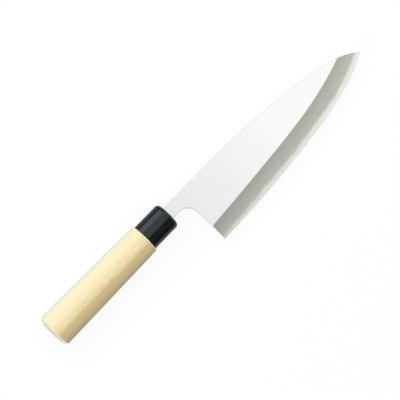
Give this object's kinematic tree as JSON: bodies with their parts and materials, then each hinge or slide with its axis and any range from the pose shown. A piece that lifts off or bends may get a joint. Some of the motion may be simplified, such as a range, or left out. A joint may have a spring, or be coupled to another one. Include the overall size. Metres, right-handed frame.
{
  "type": "single-bevel kitchen knife",
  "caption": "Heavy single-bevel Japanese kitchen knife: thick laminated blade with a hollow-ground back, bare neck, black ferrule and a ridged oval wooden handle.",
  "frame": {"origin": "middle of the handle's domed butt face, on the handle's axis", "axes": "+X along the handle from the butt to the blade's tip, +Y towards the spine, +Z out of the bevelled face; the knife lies flat with the hollow back down"},
  "size_m": [0.3267, 0.0596, 0.0222],
  "materials": {
    "magnolia_wood": "bare, finely sanded",
    "black_ferrule": "glossy, polished",
    "dark_resin": "semi-gloss, set resin",
    "soft_iron": "satin flat, matte stone-ground bevel",
    "hard_steel": "bright edge strip, ground back"
  },
  "bodies": {
    "root": {"handle": "magnolia_wood", "ferrule": "black_ferrule", "tang_seal": "dark_resin", "blade_iron": "soft_iron", "hard_steel": "hard_steel"}
  },
  "joints": []
}
